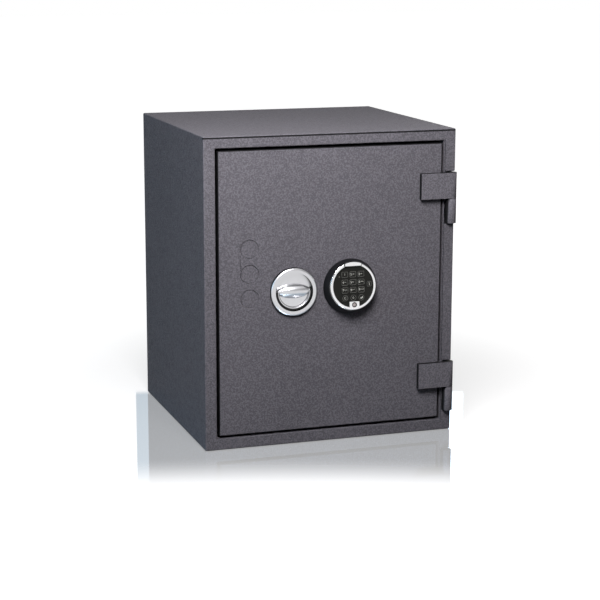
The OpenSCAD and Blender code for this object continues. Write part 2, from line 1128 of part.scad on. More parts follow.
// Tube through the slab for the lock's flat lead.
module cable_sleeve() {
    color(black)
        at_keypad()
            difference() {
                round_y(cable_r, [-3, slab_t + 4]);
                round_y(cable_r - 1, [-3 - eps, slab_t + 4 + eps]);
            }
}

outer_casing();
back_panel();
door_frame();
inner_liner();
wall_filling();
hinge_pockets();
hinge_knuckles();
hinge_pins();
hinge_washers();
bolt_sockets();
shelf();
shelf_brackets();
anchor_sleeves();
door_skin();
door_filling();
door_inner_plate();
door_seal();
hinge_leaves();
flush_plugs();
boltwork_frame();
rear_cover();
cover_screws();
dog_bolts();
lock_case();
spindle_bush();
handle_ring();
keypad_housing();
keypad_bezel();
keypad_face();
keypad_board();
keypad_top_cap();
contact_bezel();
contact_button();
cable_sleeve();
handle_dial();
handle_spindle();
spindle_nut();
cam_disc();
handle_flap();
flap_pins();
side_bolt_bar();
side_bolts();
top_bolt_bar();
top_bolts();
bottom_bolt_bar();
bottom_bolts();
lock_bolt();
key(key_place(0, 0), key_size);  // key_1
key(key_place(1, 0), key_size);  // key_2
key(key_place(2, 0), key_size);  // key_3
key(key_place(0, 1), key_size);  // key_4
key(key_place(1, 1), key_size);  // key_5
key(key_place(2, 1), key_size);  // key_6
key(key_place(0, 2), key_size);  // key_7
key(key_place(1, 2), key_size);  // key_8
key(key_place(2, 2), key_size);  // key_9
key(key_place(0, 3), key_size);  // key_clear
key(key_place(1, 3), key_size);  // key_0
key(key_place(2, 3), key_size);  // key_enter
key(side_key_place, side_key_size);  // key_side
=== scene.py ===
"""Fire-resistant safe: finishes, keypad print and studio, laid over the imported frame."""

import math

import bmesh
import bpy
from bpy.props import FloatProperty, FloatVectorProperty, PointerProperty
from bpy.types import NodeSocket, Operator, Panel, PropertyGroup
from mathutils import Matrix, Vector


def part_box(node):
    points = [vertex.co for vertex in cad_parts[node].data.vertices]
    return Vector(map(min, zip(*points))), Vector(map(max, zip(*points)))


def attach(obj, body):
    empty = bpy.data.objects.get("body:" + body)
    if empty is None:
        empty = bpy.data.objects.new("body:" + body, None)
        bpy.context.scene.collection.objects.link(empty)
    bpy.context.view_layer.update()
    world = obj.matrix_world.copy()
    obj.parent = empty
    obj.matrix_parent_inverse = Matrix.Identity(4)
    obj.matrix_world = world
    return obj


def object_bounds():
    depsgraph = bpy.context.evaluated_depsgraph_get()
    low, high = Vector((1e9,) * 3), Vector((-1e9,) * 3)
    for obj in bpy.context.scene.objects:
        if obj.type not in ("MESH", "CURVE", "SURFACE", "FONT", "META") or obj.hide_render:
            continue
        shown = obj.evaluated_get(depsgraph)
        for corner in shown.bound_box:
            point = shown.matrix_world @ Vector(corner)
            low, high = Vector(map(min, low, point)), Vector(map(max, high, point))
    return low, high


bl_info = {
    "name": "Fire-resistant safe",
    "version": (1, 0, 0),
    "blender": (4, 5, 0),
    "location": "3D View > Sidebar > Safe",
    "description": "Finishes, keypad print and studio for a fire-resistant safe",
    "category": "Object",
}

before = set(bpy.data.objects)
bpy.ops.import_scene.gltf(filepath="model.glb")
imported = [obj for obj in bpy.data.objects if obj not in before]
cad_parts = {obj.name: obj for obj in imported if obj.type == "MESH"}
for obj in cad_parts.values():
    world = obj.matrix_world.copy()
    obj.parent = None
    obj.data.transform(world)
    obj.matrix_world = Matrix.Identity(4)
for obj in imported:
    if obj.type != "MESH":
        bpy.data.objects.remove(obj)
cad_low, cad_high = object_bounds()

# Nodes of each finish.
PAINTED = ("back_panel", "door_frame", "hinge_pockets", "hinge_washers", "flush_plugs", "rear_cover")
HINGES = ("hinge_leaves", "hinge_knuckles")
LINED = ("inner_liner", "shelf", "shelf_brackets", "boltwork_frame", "door_inner_plate")
PLATED = ("hinge_pins", "bolt_sockets", "anchor_sleeves", "cover_screws", "dog_bolts", "lock_case",
          "handle_spindle", "spindle_nut", "cam_disc", "side_bolt_bar", "top_bolt_bar",
          "bottom_bolt_bar")
GROUND = ("side_bolts", "top_bolts", "bottom_bolts")
BRASS = ("spindle_bush", "lock_bolt")
SATIN = ("handle_dial", "flap_pins")
CHROMED = ("keypad_bezel", "contact_bezel")
KEYS = ("key_1", "key_2", "key_3", "key_4", "key_5", "key_6", "key_7", "key_8", "key_9",
        "key_clear", "key_0", "key_enter", "key_side")

# The casing's front, the fold along its top where a line of painted shade runs, and the width of a band of
# painted shade on the door's turned edge and on the keypad cap's edges.
CASING_FRONT = -0.195
SEAM_DROP = 0.0012
SEAM_WIDTH = 0.0032
SHADE_BAND_WIDTH = 0.0011

# The dial's face, and the radii of painted shade: the black band round the dial's lower half and the dark
# groove line inside the flap's rim.
DIAL_FACE = (-0.064, -0.1929, 0.250)
DIAL_EDGE = 0.0306
GROOVE_EDGE = 0.0275
GROOVE_RADIUS = 0.0245

# Small letters printed beside each digit.
LETTERS = {"key_2": "ABC", "key_3": "DEF", "key_4": "GHI", "key_5": "JKL", "key_6": "MNO",
           "key_7": "PQRS", "key_8": "TUV", "key_9": "WXYZ"}


class PaintSettings(PropertyGroup):
    """The structured powder coat on the body and the door."""

    coat: FloatVectorProperty(
        name="Coat", description="Colour of the powder coat",
        subtype="COLOR", size=3, min=0, max=1, default=(0.118, 0.112, 0.126))
    grain: FloatProperty(
        name="Grain size", description="Distance between the coat's grains",
        unit="LENGTH", default=0.0022, min=0.0005, max=0.01)
    depth: FloatProperty(
        name="Grain depth", description="Height of the coat's grains",
        unit="LENGTH", default=0.0007, min=0, max=0.002)
    edge: FloatProperty(
        name="Edge radius", description="Rounding of the folded sheet's edges",
        unit="LENGTH", default=0.0018, min=0.0002, max=0.003)


class MetalSettings(PropertyGroup):
    """The bright parts."""

    satin: FloatVectorProperty(
        name="Satin silver", description="Colour of the handle",
        subtype="COLOR", size=3, min=0, max=1, default=(0.68, 0.68, 0.70))
    chrome: FloatVectorProperty(
        name="Chrome", description="Colour of the keypad's ring and cap",
        subtype="COLOR", size=3, min=0, max=1, default=(0.86, 0.86, 0.87))
    satin_roughness: FloatProperty(
        name="Satin roughness", description="How dull the handle is",
        default=0.32, min=0, max=1)
    chrome_roughness: FloatProperty(
        name="Chrome roughness", description="How dull the chrome is",
        default=0.12, min=0, max=1)


class KeypadSettings(PropertyGroup):
    """The print on the keypad."""

    ink: FloatVectorProperty(
        name="Print", description="Colour of the digits and letters",
        subtype="COLOR", size=3, min=0, max=1, default=(0.50, 0.50, 0.46))
    outline: FloatVectorProperty(
        name="Outline", description="Colour of the line round each key",
        subtype="COLOR", size=3, min=0, max=1, default=(0.11, 0.11, 0.10))
    digit_height: FloatProperty(
        name="Digit height", description="Height of a printed digit",
        unit="LENGTH", default=0.0052, min=0.002, max=0.008)
    line_width: FloatProperty(
        name="Line width", description="Width of the line round each key",
        unit="LENGTH", default=0.0005, min=0.0001, max=0.001)


class StudioSettings(PropertyGroup):
    """The lights, the floor and the camera."""

    key_power: FloatProperty(
        name="Key light", description="Power of the light over the door",
        unit="POWER", default=19.2, min=0)
    side_power: FloatProperty(
        name="Side light", description="Power of the cool light on the left side",
        unit="POWER", default=13.2, min=0)
    back_power: FloatProperty(
        name="Back light", description="Power of the light behind the safe, on its right",
        unit="POWER", default=14.0, min=0)
    top_strength: FloatProperty(
        name="Top light", description="Strength of the light from straight above",
        default=0.10, min=0)
    ambient: FloatProperty(
        name="Ambient", description="Strength of the even light from all round",
        default=0.02, min=0)
    sheen: FloatProperty(
        name="Floor sheen", description="How much the floor mirrors the safe at its foot",
        subtype="FACTOR", default=0.66, min=0, max=1)
    lens: FloatProperty(
        name="Lens", description="Focal length of the camera",
        unit="CAMERA", default=103.264, min=10)


# Node helpers.
def place(tree, kind, inputs=None, **settings):
    """Adds a node, applies its settings, then fills or links its inputs."""
    node = tree.nodes.new(kind)
    for name, value in settings.items():
        setattr(node, name, value)
    for name, value in (inputs or {}).items():
        socket = node.inputs[name]
        if isinstance(value, NodeSocket):
            tree.links.new(value, socket)
        else:
            socket.default_value = value
    return node


def combine(tree, operation, a, b=0.0):
    """A math node's result."""
    return place(tree, "ShaderNodeMath", {0: a, 1: b}, operation=operation).outputs[0]


def combine_vectors(tree, operation, a, b):
    """A vector math node's result."""
    return place(tree, "ShaderNodeVectorMath", {0: a, 1: b}, operation=operation).outputs[0]


def distance(tree, vector):
    """A vector's length."""
    return place(tree, "ShaderNodeVectorMath", {0: vector}, operation="LENGTH").outputs["Value"]


def mix_colour(tree, factor, a, b, blend="MIX"):
    """Two colours mixed by a factor."""
    node = place(tree, "ShaderNodeMix", {0: factor, 6: a, 7: b}, data_type="RGBA", blend_type=blend)
    return node.outputs[2]


def span(tree, value, low, high, to_low=0.0, to_high=1.0):
    """A value stretched from one range to another, and held inside it."""
    inputs = {"Value": value, "From Min": low, "From Max": high, "To Min": to_low, "To Max": to_high}
    return place(tree, "ShaderNodeMapRange", inputs, interpolation_type="SMOOTHSTEP").outputs[0]


def rgba(colour):
    """A colour with full alpha."""
    return (*colour, 1.0)


def new_group(name, inputs, outputs):
    """An empty shader group with its sockets, its input node and its output node."""
    group = bpy.data.node_groups.new(name, "ShaderNodeTree")
    for label, kind, value in inputs:
        socket = group.interface.new_socket(name=label, in_out="INPUT", socket_type=kind)
        socket.default_value = value
    for label, kind in outputs:
        group.interface.new_socket(name=label, in_out="OUTPUT", socket_type=kind)
    return group, group.nodes.new("NodeGroupInput"), group.nodes.new("NodeGroupOutput")


def object_place(tree):
    """Coordinates in metres, fixed to the piece."""
    return tree.nodes.new("ShaderNodeTexCoord").outputs["Object"]


def noise(tree, vector, scale, detail=2.0, roughness=0.5):
    """A noise value from 0 to 1."""
    inputs = {"Vector": vector, "Scale": scale, "Detail": detail, "Roughness": roughness}
    return place(tree, "ShaderNodeTexNoise", inputs).outputs[0]


def build_coat_grain():
    """Grains of a structured powder coat: light flecks on a darker ground, and their height."""
    group, given, result = new_group(
        "Coat grain",
        [("Paint", "NodeSocketColor", (0.1, 0.1, 0.1, 1)),
         ("Grain Size", "NodeSocketFloat", 0.002),
         ("Contrast", "NodeSocketFloat", 0.5),
         ("Dullness", "NodeSocketFloat", 0.5)],
        [("Color", "NodeSocketColor"), ("Roughness", "NodeSocketFloat"), ("Height", "NodeSocketFloat")])
    where = object_place(group)
    pitch = combine(group, "DIVIDE", 1.0, given.outputs["Grain Size"])
    grains = noise(group, where, pitch, 1.0, 0.6)
    flecks = span(group, grains, 0.36, 0.68)
    fine = noise(group, where, combine(group, "MULTIPLY", pitch, 2.6), 2.0, 0.6)
    broad = noise(group, where, 9.0, 2.0, 0.5)
    swing = combine(group, "MULTIPLY", combine(group, "SUBTRACT", flecks, 0.5), given.outputs["Contrast"])
    drift = combine(group, "MULTIPLY", combine(group, "SUBTRACT", broad, 0.5), 0.16)
    level = combine(group, "ADD", combine(group, "ADD", swing, drift), 1.0)
    tone = place(group, "ShaderNodeCombineColor", {0: level, 1: level, 2: level}).outputs[0]
    shade = mix_colour(group, 1.0, given.outputs["Paint"], tone, "MULTIPLY")
    group.links.new(shade, result.inputs["Color"])
    dull = combine(group, "MULTIPLY", combine(group, "SUBTRACT", fine, 0.5), 0.25)
    group.links.new(combine(group, "ADD", dull, given.outputs["Dullness"]), result.inputs["Roughness"])
    rise = combine(group, "ADD", grains, combine(group, "MULTIPLY", fine, 0.4))
    group.links.new(rise, result.inputs["Height"])
    return group


def build_brushing():
    """Fine lines that run one way, as left by a belt or by a lathe."""
    group, given, result = new_group(
        "Brushing",
        [("Metal", "NodeSocketColor", (0.7, 0.7, 0.7, 1)),
         ("Lines", "NodeSocketVector", (20.0, 1200.0, 1200.0)),
         ("Dullness", "NodeSocketFloat", 0.3),
         ("Contrast", "NodeSocketFloat", 0.1)],
        [("Color", "NodeSocketColor"), ("Roughness", "NodeSocketFloat"), ("Height", "NodeSocketFloat")])
    where = object_place(group)
    stretch = {0: where, 1: given.outputs["Lines"]}
    drawn = place(group, "ShaderNodeVectorMath", stretch, operation="MULTIPLY")
    lines = noise(group, drawn.outputs[0], 1.0, 3.0, 0.6)
    cloud = noise(group, where, 60.0, 2.0, 0.5)
    fine = combine(group, "MULTIPLY", lines, 0.6)
    mixed = combine(group, "ADD", fine, combine(group, "MULTIPLY", cloud, 0.4))
    centred = combine(group, "SUBTRACT", mixed, 0.5)
    level = combine(group, "ADD", combine(group, "MULTIPLY", centred, given.outputs["Contrast"]), 1.0)
    tone = place(group, "ShaderNodeCombineColor", {0: level, 1: level, 2: level}).outputs[0]
    shade = mix_colour(group, 1.0, given.outputs["Metal"], tone, "MULTIPLY")
    group.links.new(shade, result.inputs["Color"])
    dull = combine(group, "ADD", combine(group, "MULTIPLY", centred, 0.3), given.outputs["Dullness"])
    group.links.new(dull, result.inputs["Roughness"])
    group.links.new(lines, result.inputs["Height"])
    return group


def build_edge_highlight():
    """A painted highlight: a mask that rises along convex edges, broken up by noise."""
    group, given, result = new_group(
        "Edge highlight",
        [("Reach", "NodeSocketFloat", 0.53), ("Breakup", "NodeSocketFloat", 120.0)],
        [("Mask", "NodeSocketFloat")])
    point = group.nodes.new("ShaderNodeNewGeometry").outputs["Pointiness"]
    edge = span(group, point, given.outputs["Reach"], combine(group, "ADD", given.outputs["Reach"], 0.08))
    breakup = span(group, noise(group, object_place(group), given.outputs["Breakup"], 3.0), 0.35, 0.6)
    group.links.new(combine(group, "MULTIPLY", edge, breakup), result.inputs["Mask"])
    return group


GROUPS = {}


def shader_group(tree, name, inputs):
    """Places one of the shared groups in a material."""
    node = tree.nodes.new("ShaderNodeGroup")
    node.node_tree = GROUPS[name]
    for label, value in inputs.items():
        node.inputs[label].default_value = value
    return node


def new_material(name):
    """A material with an empty tree, its surface shader already joined to the output."""
    material = bpy.data.materials.new(name)
    material.use_nodes = True
    tree = material.node_tree
    tree.nodes.clear()
    shader = tree.nodes.new("ShaderNodeBsdfPrincipled")
    output = tree.nodes.new("ShaderNodeOutputMaterial")
    tree.links.new(shader.outputs[0], output.inputs["Surface"])
    return material, tree, shader


def bump(tree, shader, height, distance, strength=1.0):
    """Raises the surface by a height pattern."""
    inputs = {"Height": height, "Distance": distance, "Strength": strength}
    node = place(tree, "ShaderNodeBump", inputs)
    tree.links.new(node.outputs[0], shader.inputs["Normal"])


def seam_shade_mask(tree):
    """Painted shade: 1 along the fold above the front lip, where a dark line stands for the shade in its
    seam, and 0 elsewhere.
    """
    place_on = place(tree, "ShaderNodeSeparateXYZ", {0: object_place(tree)})
    top = cad_high[2] - SEAM_DROP
    above = span(tree, place_on.outputs[2], top - SEAM_WIDTH, top - SEAM_WIDTH * 0.8)
    below = span(tree, place_on.outputs[2], top, top - SEAM_WIDTH * 0.2)
    front = span(tree, place_on.outputs[1], CASING_FRONT + 0.006, CASING_FRONT + 0.004)
    return combine(tree, "MULTIPLY", combine(tree, "MULTIPLY", above, below), front)


def door_gap_shade_mask(tree):
    """Painted shade: 1 on the turned edge round the door, darkened so that the gap round the door reads
    wider, and 0 on its face.
    """
    low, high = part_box("door_skin")
    parts = place(tree, "ShaderNodeSeparateXYZ", {0: object_place(tree)})
    masks = []
    for axis in (0, 2):
        middle = (low[axis] + high[axis]) / 2
        half = (high[axis] - low[axis]) / 2
        away = combine(tree, "ABSOLUTE", combine(tree, "SUBTRACT", parts.outputs[axis], middle))
        masks.append(span(tree, away, half - SHADE_BAND_WIDTH * 1.3, half - SHADE_BAND_WIDTH * 0.7))
    return combine(tree, "MAXIMUM", *masks)


def wall_shade_mask(tree):
    """Painted shade: 1 on the side walls of a plate that faces the front, darkened as if in shadow, and 0
    on its face.
    """
    normal = tree.nodes.new("ShaderNodeNewGeometry").outputs["Normal"]
    facing = place(tree, "ShaderNodeSeparateXYZ", {0: normal})
    return span(tree, facing.outputs[1], -0.75, -0.45)


def cap_shade_mask(tree):
    """Painted shade: 1 on the ends and the lower edge of the keypad's cap, darkened as its shadow and the
    gap round it, and 0 on its face.
    """
    low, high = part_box("keypad_top_cap")
    middle = (low[0] + high[0]) / 2
    half = (high[0] - low[0]) / 2
    parts = place(tree, "ShaderNodeSeparateXYZ", {0: object_place(tree)})
    away = combine(tree, "ABSOLUTE", combine(tree, "SUBTRACT", parts.outputs[0], middle))
    ends = span(tree, away, half - SHADE_BAND_WIDTH, half - SHADE_BAND_WIDTH * 0.5)
    foot = span(tree, parts.outputs[2], low[2] + SHADE_BAND_WIDTH, low[2] + SHADE_BAND_WIDTH * 0.6)
    return combine(tree, "MAXIMUM", ends, foot)


def groove_shade_mask(tree):
    """Painted shade: 1 along a dark groove line inside the flap's rim and on the rim's outer edge, and 0
    elsewhere.
    """
    offset = combine_vectors(tree, "SUBTRACT", object_place(tree), DIAL_FACE)
    radius = distance(tree, combine_vectors(tree, "MULTIPLY", offset, (1.0, 0.0, 1.0)))
    inner = span(tree, radius, GROOVE_RADIUS - 0.0012, GROOVE_RADIUS)
    outer = span(tree, radius, GROOVE_RADIUS + 0.0012, GROOVE_RADIUS)
    edge = span(tree, radius, GROOVE_EDGE - 0.0011, GROOVE_EDGE - 0.0005)
    groove = combine(tree, "MULTIPLY", combine(tree, "MULTIPLY", inner, outer), 0.8)
    return combine(tree, "MAXIMUM", groove, edge)


def coated(name, paint, grain, depth, dullness, contrast, edge_highlight_tone, shade_mask=None):
    """A powder-coated sheet, a little lighter along its convex edges where a highlight is painted, and
    darkened nearly to black as painted shade where a mask is given.
    """
    material, tree, shader = new_material(name)
    coat = shader_group(tree, "coat", {"Paint": rgba(paint), "Grain Size": grain,
                                       "Contrast": contrast, "Dullness": dullness})
    # Painted highlight: the coat is lightened along convex edges.
    edge_light = shader_group(tree, "edges", {"Reach": 0.53, "Breakup": 150.0})
    shade = mix_colour(tree, edge_light.outputs["Mask"], coat.outputs["Color"], rgba(edge_highlight_tone))
    # Painted shade: where the mask is 1, the coat is darkened nearly to black.
    if shade_mask:
        shade = mix_colour(tree, shade_mask(tree), shade, (0.012, 0.012, 0.013, 1))
    tree.links.new(shade, shader.inputs["Base Color"])
    tree.links.new(coat.outputs["Roughness"], shader.inputs["Roughness"])
    shader.inputs["Specular IOR Level"].default_value = 0.06
    bump(tree, shader, coat.outputs["Height"], depth)
    return material


def metal(name, colour, dullness, lines, contrast, depth=0.00001, shade_mask=None):
    """A bare or plated metal with fine lines, darkened as painted shade where a mask is given."""
    material, tree, shader = new_material(name)
    brush = shader_group(tree, "brushing", {"Metal": rgba(colour), "Lines": lines,
                                            "Dullness": dullness, "Contrast": contrast})
    shade = brush.outputs["Color"]
    # Painted shade: where the mask is 1, the metal is darkened nearly to black.
    if shade_mask:
        shade = mix_colour(tree, shade_mask(tree), shade, (0.03, 0.03, 0.031, 1))
    tree.links.new(shade, shader.inputs["Base Color"])
    tree.links.new(brush.outputs["Roughness"], shader.inputs["Roughness"])
    shader.inputs["Metallic"].default_value = 1.0
    bump(tree, shader, brush.outputs["Height"], depth)
    return material


def moulded(name, colour, dullness, grain=0.0006, depth=0.00002, contrast=0.2, level=0.5):
    """Moulded plastic or rubber with a faint spark-eroded grain."""
    material, tree, shader = new_material(name)
    coat = shader_group(tree, "coat", {"Paint": rgba(colour), "Grain Size": grain,
                                       "Contrast": contrast, "Dullness": dullness})
    tree.links.new(coat.outputs["Color"], shader.inputs["Base Color"])
    tree.links.new(coat.outputs["Roughness"], shader.inputs["Roughness"])
    shader.inputs["Specular IOR Level"].default_value = level
    bump(tree, shader, coat.outputs["Height"], depth)
    return material


def dress(names, material):
    """Gives CAD nodes a finish."""
    for name in names:
        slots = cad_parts[name].material_slots
        for item in slots:
            item.material = material


def soften(names, radius, segments=2, angle=35.0):
    """Rounds the edges of CAD nodes inside their own outline."""
    for name in names:
        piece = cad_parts[name]
        weld = piece.modifiers.new("Join corners", "WELD")
        weld.merge_threshold = 0.000002
        rounding = piece.modifiers.new("Round edges", "BEVEL")
        rounding.width = radius
        rounding.segments = segments
        rounding.limit_method = "ANGLE"
        rounding.angle_limit = math.radians(angle)
        rounding.harden_normals = True
        rounding.use_clamp_overlap = True


class SAFE_OT_coat_body(Operator):
    """Powder-coats the body, the door and the hinges"""

    bl_idname = "safe.coat_body"
    bl_label = "Coat body and door"

    def execute(self, context):
        """Builds the coat and rounds the sheet's edges."""
        paint = context.scene.safe_paint
        # The colour of the painted highlight along convex edges.
        edge_highlight_tone = [min(1.0, value * 1.35) for value in paint.coat]
        given = (paint.grain, paint.depth, 0.55, 0.45, edge_highlight_tone)
        dress(PAINTED, coated("Structured powder coat", paint.coat, *given))
        # Painted shade: a dark line along the casing's top fold.
        dress(("outer_casing",), coated("Casing coat", paint.coat, *given, seam_shade_mask))
        # Painted shade: the hinges' side walls are darkened. Their coat is 1.12 times the door's colour.
        dress(HINGES, coated("Hinge coat", [value * 1.12 for value in paint.coat], *given, wall_shade_mask))
        # Painted shade: the door's turned edge is darkened so that the gap round the door reads wider.
        dress(("door_skin",), coated("Door coat", paint.coat, *given, door_gap_shade_mask))
        soften(("outer_casing",), paint.edge)
        soften(("door_skin",), paint.edge * 0.6)
        soften(HINGES, paint.edge * 0.5)
        soften(("flush_plugs", "back_panel", "rear_cover"), paint.edge * 0.4)
        return {"FINISHED"}


class SAFE_OT_coat_inside(Operator):
    """Coats the liner, the shelf and the door's inner plate"""

    bl_idname = "safe.coat_inside"
    bl_label = "Coat inside"

    def execute(self, context):
        """Smooth light coat inside, bare infill between the sheets."""
        # The last colour is that of the painted highlight along convex edges.
        inside = coated("Smooth light coat", (0.42, 0.43, 0.44), 0.0012, 0.00004, 0.42, 0.10,
                        (0.55, 0.55, 0.55))
        dress(LINED, inside)
        infill = moulded("Cast infill", (0.45, 0.42, 0.36), 0.9, 0.004, 0.0006, 0.5)
        dress(("wall_filling", "door_filling"), infill)
        dress(("door_seal",), moulded("Seal rubber", (0.018, 0.018, 0.019), 0.75, 0.0012, 0.00006, 0.4))
        soften(("boltwork_frame", "shelf"), 0.0006)
        return {"FINISHED"}


class SAFE_OT_fit_boltwork(Operator):
    """Finishes the bolts, the bars, the cam and the lock"""

    bl_idname = "safe.fit_boltwork"
    bl_label = "Finish boltwork"

    def execute(self, context):
        """Zinc on the bars, ground steel on the bolts, brass at the bearings."""
        zinc = metal("Zinc plate", (0.62, 0.62, 0.60), 0.38, (300.0, 300.0, 300.0), 0.5)
        ground = metal("Ground steel", (0.72, 0.72, 0.73), 0.22, (900.0, 2500.0, 2500.0), 0.15)
        brass = metal("Turned brass", (0.68, 0.48, 0.20), 0.3, (900.0, 900.0, 900.0), 0.2)
        dress(PLATED, zinc)
        dress(GROUND, ground)
        dress(BRASS, brass)
        soften(GROUND, 0.001)
        return {"FINISHED"}


class SAFE_OT_finish_handle(Operator):
    """Finishes the handle's ring, dial and flap"""

    bl_idname = "safe.finish_handle"
    bl_label = "Finish handle"

    def execute(self, context):
        """Satin silver with very fine lines, painted shade on the ring's walls and on the flap, and a
        black band of painted shade round the dial's lower half.
        """
        bright = context.scene.safe_metal
        satin = metal("Satin silver", bright.satin, bright.satin_roughness, (1800.0, 1800.0, 500.0), 0.12)
        lines = (1800.0, 1800.0, 500.0)
        dress(SATIN, satin)
        # Painted shade: the ring's inner and outer walls are darkened.
        dress(("handle_ring",), metal("Ring satin", bright.satin, bright.satin_roughness, lines, 0.12,
                                      shade_mask=wall_shade_mask))
        # Painted shade: a groove line and the rim's outer edge are darkened on the flap.
        dress(("handle_flap",), metal("Flap satin", bright.satin, bright.satin_roughness, lines, 0.12,
                                      shade_mask=groove_shade_mask))
        soften(("handle_flap", "handle_dial"), 0.0004)
        # Painted shade: a thin black band stands in for the shadowed gap round the dial's lower half.
        dial_shade = moulded("Dial painted shade", (0.012, 0.012, 0.013), 0.6)
        mesh = bmesh.new()
        add_band(mesh, arc_points(DIAL_EDGE, -192, 12), arc_points(GROOVE_EDGE, -192, 12), 0.0004, False)
        at_dial = Matrix.Translation(DIAL_FACE) @ Matrix.Rotation(math.radians(90), 4, "X")
        new_piece("dial_shade_band", mesh, at_dial, dial_shade, "handle")
        return {"FINISHED"}


class SAFE_OT_finish_keypad(Operator):
    """Finishes the keypad's housing, face, keys and bright ring"""

    bl_idname = "safe.finish_keypad"
    bl_label = "Finish keypad"

    def execute(self, context):
        """Black mouldings and chrome."""
        bright = context.scene.safe_metal
        given = (bright.chrome, bright.chrome_roughness, (900.0, 900.0, 900.0), 0.04, 0.000004)
        dress(CHROMED, metal("Chrome", *given))
        # Painted shade: the cap's ends and lower edge are darkened.
        dress(("keypad_top_cap",), metal("Cap chrome", *given, cap_shade_mask))
        contact = metal("Contact button", (0.45, 0.40, 0.40), 0.3, (2500.0, 2500.0, 2500.0), 0.5)
        dress(("contact_button",), contact)
        black = moulded("Black moulding", (0.005, 0.005, 0.006), 0.4, level=0.25)
        dress(("keypad_housing", "cable_sleeve"), black)
        panel = moulded("Face panel", (0.010, 0.010, 0.0085), 0.4, 0.0008, 0.00001, 0.15, 0.15)
        dress(("keypad_face",), panel)
        dress(KEYS, moulded("Key plastic", (0.012, 0.012, 0.0105), 0.45, 0.0008, 0.00001, 0.15, 0.15))
        dress(("keypad_board",), moulded("Circuit board", (0.02, 0.10, 0.04), 0.5))
        soften(("keypad_top_cap", "contact_bezel"), 0.0004)
        soften(KEYS, 0.0003)
        return {"FINISHED"}


# The keypad's face: its own frame, with Y as the way a key is pressed.
TILT = math.radians(5.0)
FACE_POINT = Vector((0.031, -0.210, 0.256))
KEY_FRONT = -0.0006
PRINT_T = 0.00005
KEY_HALF = (0.0057, 0.0049)
SIDE_KEY_HALF = (0.0042, 0.0043)
KEY_PITCH = (0.0137, 0.0125)
KEY_TOP = 0.0186
SIDE_KEY_PLACE = (0.0274, 0.002)
CONTACT_PLACE = (0.001, -0.030)
CORNER = 0.002
ROUND_KEY = 0.0046
LETTER_SHARE = 0.40
SEAT_RADII = (0.0041, 0.0026)
RIB_RADII = (0.0390, 0.0386)


def face_matrix(x, z, y=0.0):
    """From flat drawings in X and Y, facing +Z, to a place on the keypad's face."""
    to_face = Matrix.Translation(FACE_POINT) @ Matrix.Rotation(-TILT, 4, "X")
    return to_face @ Matrix.Translation((x, y, z)) @ Matrix.Rotation(math.radians(90), 4, "X")


def key_centre(name):
    """Where a key stands on the face."""
    if name == "key_side":
        return SIDE_KEY_PLACE
    index = KEYS.index(name)
    return ((index % 3 - 1) * KEY_PITCH[0], KEY_TOP - (index // 3) * KEY_PITCH[1])


def rounded_outline(half_x, half_y, radius, steps=6):
    """Points round a rectangle with rounded corners."""
    points = []
    for turn, (x, y) in enumerate(((1, 1), (-1, 1), (-1, -1), (1, -1))):
        centre = Vector((x * (half_x - radius), y * (half_y - radius)))
        for step in range(steps + 1):
            angle = math.radians(90 * turn + 90 * step / steps)
            points.append(centre + radius * Vector((math.cos(angle), math.sin(angle))))
    return points


def arc_points(radius, start, end, count=40):
    """Points along an arc, with its angles in degrees."""
    turns = [math.radians(start + (end - start) * i / count) for i in range(count + 1)]
    return [Vector((radius * math.cos(a), radius * math.sin(a))) for a in turns]


def add_band(mesh, outer, inner, thickness, closed=True):
    """A flat band between two outlines of as many points, closed into a ring or with two ends."""
    rings = []
    for outline, level in ((outer, 0.0), (inner, 0.0), (inner, thickness), (outer, thickness)):
        rings.append([mesh.verts.new((p[0], p[1], level)) for p in outline])
    count = len(outer)
    for k in range(4):
        a = rings[k]
        b = rings[(k + 1) % 4]
        for i in range(count if closed else count - 1):
            j = (i + 1) % count
            mesh.faces.new((a[i], a[j], b[j], b[i]))
    if not closed:
        mesh.faces.new([ring[0] for ring in rings])
        mesh.faces.new([ring[-1] for ring in rings])


def add_lettering(mesh, words, height, x, y, thickness, align="LEFT"):
    """Solid lettering, drawn with Blender's own font."""
    curve = bpy.data.curves.new("lettering", "FONT")
    curve.body = words
    curve.size = height
    curve.align_x = align
    curve.align_y = "CENTER"
    curve.extrude = thickness / 2
    curve.resolution_u = 4
    holder = bpy.data.objects.new("lettering", curve)
    bpy.context.scene.collection.objects.link(holder)
    solid = holder.to_mesh(depsgraph=bpy.context.evaluated_depsgraph_get(), preserve_all_data_layers=False)
    solid.transform(Matrix.Translation((x, y, thickness / 2)))
    mesh.from_mesh(solid)
    holder.to_mesh_clear()
    bpy.data.objects.remove(holder)
    bpy.data.curves.remove(curve)


def add_plate(mesh, points, thickness):
    """A thin solid plate from an outline."""
    low = [mesh.verts.new((p[0], p[1], 0.0)) for p in points]
    high = [mesh.verts.new((p[0], p[1], thickness)) for p in points]
    mesh.faces.new(list(reversed(low)))
    mesh.faces.new(high)
    count = len(points)
    for i in range(count):
        j = (i + 1) % count
        mesh.faces.new((low[i], low[j], high[j], high[i]))


def new_piece(name, mesh, matrix, material, body):
    """Makes a piece from a bmesh, at its place, and sets what it rides on."""
    bmesh.ops.recalc_face_normals(mesh, faces=mesh.faces)
    data = bpy.data.meshes.new(name)
    mesh.to_mesh(data)
    mesh.free()
    data.transform(matrix)
    data.materials.append(material)
    piece = bpy.data.objects.new(name, data)
    bpy.context.scene.collection.objects.link(piece)
    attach(piece, body)
    return piece


def ring_points(radius, count=40, x=0.0, y=0.0):
    """Points round a circle."""
    turns = [2 * math.pi * i / count for i in range(count)]
    return [Vector((x + radius * math.cos(a), y + radius * math.sin(a))) for a in turns]


